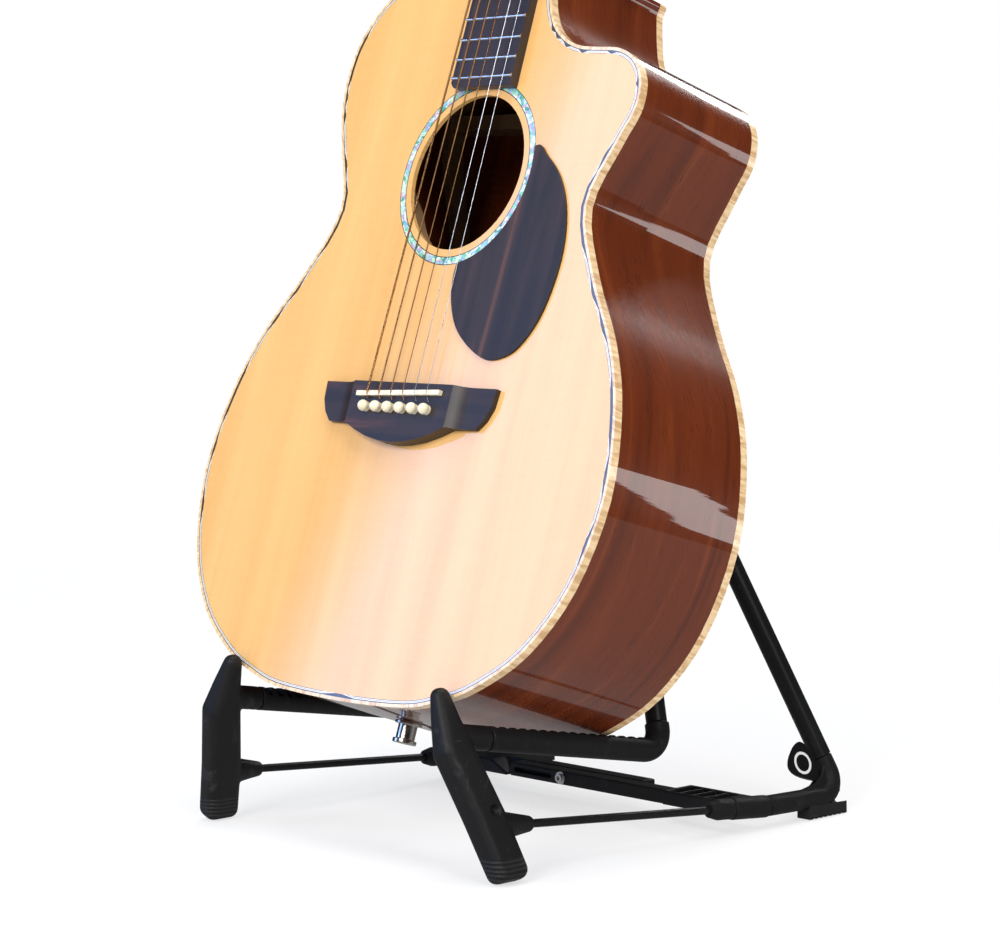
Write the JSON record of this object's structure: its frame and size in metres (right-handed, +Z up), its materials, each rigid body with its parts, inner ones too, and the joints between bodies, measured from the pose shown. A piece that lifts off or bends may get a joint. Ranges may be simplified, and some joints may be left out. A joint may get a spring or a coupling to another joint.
{
  "type": "guitar on stand",
  "caption": "Steel-string acoustic guitar with a round cutaway, standing on a folding frame stand with side frames, front hooks and a hinged brace.",
  "frame": {"origin": "on the floor, under the middle of the bounding box", "axes": "+Z up, +X to the treble side of the guitar, +Y to the back of the stand"},
  "size_m": [0.376, 0.4108, 1.0419],
  "materials": {
    "spruce": "gloss lacquered spruce",
    "mahogany": "gloss lacquered mahogany",
    "maple": "gloss figured maple",
    "brace_wood": "bare spruce and mahogany",
    "ebony": "satin ebony",
    "abalone": "polished shell",
    "purfling": "black and white lines",
    "bone": "polished bone",
    "nickel": "polished nickel",
    "bronze": "wound bronze",
    "steel": "plain steel",
    "pickguard": "satin dark guard",
    "stand_plastic": "fine textured fibre-reinforced plastic",
    "stand_rubber": "matt rubber",
    "black_steel": "satin black powder coat",
    "pick_plastic": "smooth plastic"
  },
  "bodies": {
    "left_frame": {"front_leg_left": "stand_plastic", "support_arm_left": "stand_plastic", "back_rest_left": "black_steel", "rear_leg_left": "black_steel", "rear_corner_left": "stand_plastic", "foot_pad_left": "stand_rubber", "base_rod_left": "black_steel", "collar_left": "stand_plastic", "hinge_bracket_left": "stand_plastic", "hinge_pin": "steel"},
    "right_frame": {"front_leg_right": "stand_plastic", "support_arm_right": "stand_plastic", "back_rest_right": "black_steel", "rear_leg_right": "black_steel", "rear_corner_right": "stand_plastic", "foot_pad_right": "stand_rubber", "base_rod_right": "black_steel", "collar_right": "stand_plastic", "hinge_bracket_right": "stand_plastic"},
    "brace_left": {"brace_left": "stand_plastic"},
    "brace_right": {"brace_right": "stand_plastic", "brace_screw": "steel"},
    "guitar": {"soundboard": "spruce", "rosette": "abalone", "purfling": "purfling", "top_binding": "maple", "rim": "mahogany", "back_binding": "maple", "back_plate": "mahogany", "linings": "brace_wood", "top_braces": "brace_wood", "back_braces": "brace_wood", "endpin_jack": "nickel", "pickguard": "pickguard", "bridge": "ebony", "saddle": "bone", "bridge_pins": "bone", "wound_strings": "bronze", "plain_strings": "steel", "fretboard": "ebony", "frets": "nickel", "nut": "bone", "neck": "mahogany", "truss_rod": "steel", "headplate": "ebony", "tuner_housings": "nickel", "tuner_bushings": "nickel"},
    "pick": {"pick": "pick_plastic"},
    "post_1": {"tuner_post_1": "nickel"},
    "button_1": {"tuner_button_1": "nickel"},
    "post_2": {"tuner_post_2": "nickel"},
    "button_2": {"tuner_button_2": "nickel"},
    "post_3": {"tuner_post_3": "nickel"},
    "button_3": {"tuner_button_3": "nickel"},
    "post_4": {"tuner_post_4": "nickel"},
    "button_4": {"tuner_button_4": "nickel"},
    "post_5": {"tuner_post_5": "nickel"},
    "button_5": {"tuner_button_5": "nickel"},
    "post_6": {"tuner_post_6": "nickel"},
    "button_6": {"tuner_button_6": "nickel"}
  },
  "joints": [
    {"name": "guitar_lift", "type": "slide", "parent": "left_frame", "child": "guitar", "axis": [0, 0.2905, 0.9569], "range_m": [0, 0.36]},
    {"name": "stand_fold", "type": "hinge", "parent": "left_frame", "child": "right_frame", "pos_m": [0, 0.02632, 0.312], "axis": [0, 1, 0], "range_deg": [0, 42.5]},
    {"name": "brace_left_fold", "type": "hinge", "parent": "left_frame", "child": "brace_left", "pos_m": [-0.13511, 0.02285, 0.01426], "axis": [0.0336, -0.9958, 0.0857], "range_deg": [0, 61.5]},
    {"name": "brace_right_fold", "type": "hinge", "parent": "right_frame", "child": "brace_right", "pos_m": [0.13511, 0.02285, 0.01426], "axis": [0.0336, 0.9958, -0.0857], "range_deg": [0, 61.5]},
    {"name": "pick_slide", "type": "slide", "parent": "right_frame", "child": "pick", "axis": [-0.2669, -0.682, 0.6809], "range_m": [0, 0.028]},
    {"name": "button_1_turn", "type": "hinge", "parent": "guitar", "child": "button_1", "pos_m": [-0.0205, 0.1267, 0.90436], "axis": [-1, 0, 0], "continuous": true},
    {"name": "post_1_turn", "type": "hinge", "parent": "guitar", "child": "post_1", "pos_m": [-0.0205, 0.1315, 0.91161], "axis": [0, 0.8339, -0.5519], "continuous": true},
    {"name": "button_2_turn", "type": "hinge", "parent": "guitar", "child": "button_2", "pos_m": [-0.0225, 0.14878, 0.93771], "axis": [-1, 0, 0], "continuous": true},
    {"name": "post_2_turn", "type": "hinge", "parent": "guitar", "child": "post_2", "pos_m": [-0.0225, 0.15358, 0.94497], "axis": [0, 0.8339, -0.5519], "continuous": true},
    {"name": "button_3_turn", "type": "hinge", "parent": "guitar", "child": "button_3", "pos_m": [-0.0245, 0.17086, 0.97107], "axis": [-1, 0, 0], "continuous": true},
    {"name": "post_3_turn", "type": "hinge", "parent": "guitar", "child": "post_3", "pos_m": [-0.0245, 0.17566, 0.97833], "axis": [0, 0.8339, -0.5519], "continuous": true},
    {"name": "button_4_turn", "type": "hinge", "parent": "guitar", "child": "button_4", "pos_m": [0.0245, 0.17086, 0.97107], "axis": [1, 0, 0], "continuous": true},
    {"name": "post_4_turn", "type": "hinge", "parent": "guitar", "child": "post_4", "pos_m": [0.0245, 0.17566, 0.97833], "axis": [0, 0.8339, -0.5519], "continuous": true},
    {"name": "button_5_turn", "type": "hinge", "parent": "guitar", "child": "button_5", "pos_m": [0.0225, 0.14878, 0.93771], "axis": [1, 0, 0], "continuous": true},
    {"name": "post_5_turn", "type": "hinge", "parent": "guitar", "child": "post_5", "pos_m": [0.0225, 0.15358, 0.94497], "axis": [0, 0.8339, -0.5519], "continuous": true},
    {"name": "button_6_turn", "type": "hinge", "parent": "guitar", "child": "button_6", "pos_m": [0.0205, 0.1267, 0.90436], "axis": [1, 0, 0], "continuous": true},
    {"name": "post_6_turn", "type": "hinge", "parent": "guitar", "child": "post_6", "pos_m": [0.0205, 0.1315, 0.91161], "axis": [0, 0.8339, -0.5519], "continuous": true}
  ],
  "couplings": [
    {"joint": "stand_fold", "follows": "guitar_lift", "rad_per_m": 2.0362},
    {"joint": "brace_left_fold", "follows": "guitar_lift", "rad_per_m": 2.9574},
    {"joint": "brace_right_fold", "follows": "guitar_lift", "rad_per_m": 2.9574},
    {"joint": "post_1_turn", "follows": "button_1_turn", "ratio": -0.055556},
    {"joint": "post_2_turn", "follows": "button_2_turn", "ratio": -0.055556},
    {"joint": "post_3_turn", "follows": "button_3_turn", "ratio": -0.055556},
    {"joint": "post_4_turn", "follows": "button_4_turn", "ratio": 0.055556},
    {"joint": "post_5_turn", "follows": "button_5_turn", "ratio": 0.055556},
    {"joint": "post_6_turn", "follows": "button_6_turn", "ratio": 0.055556}
  ]
}
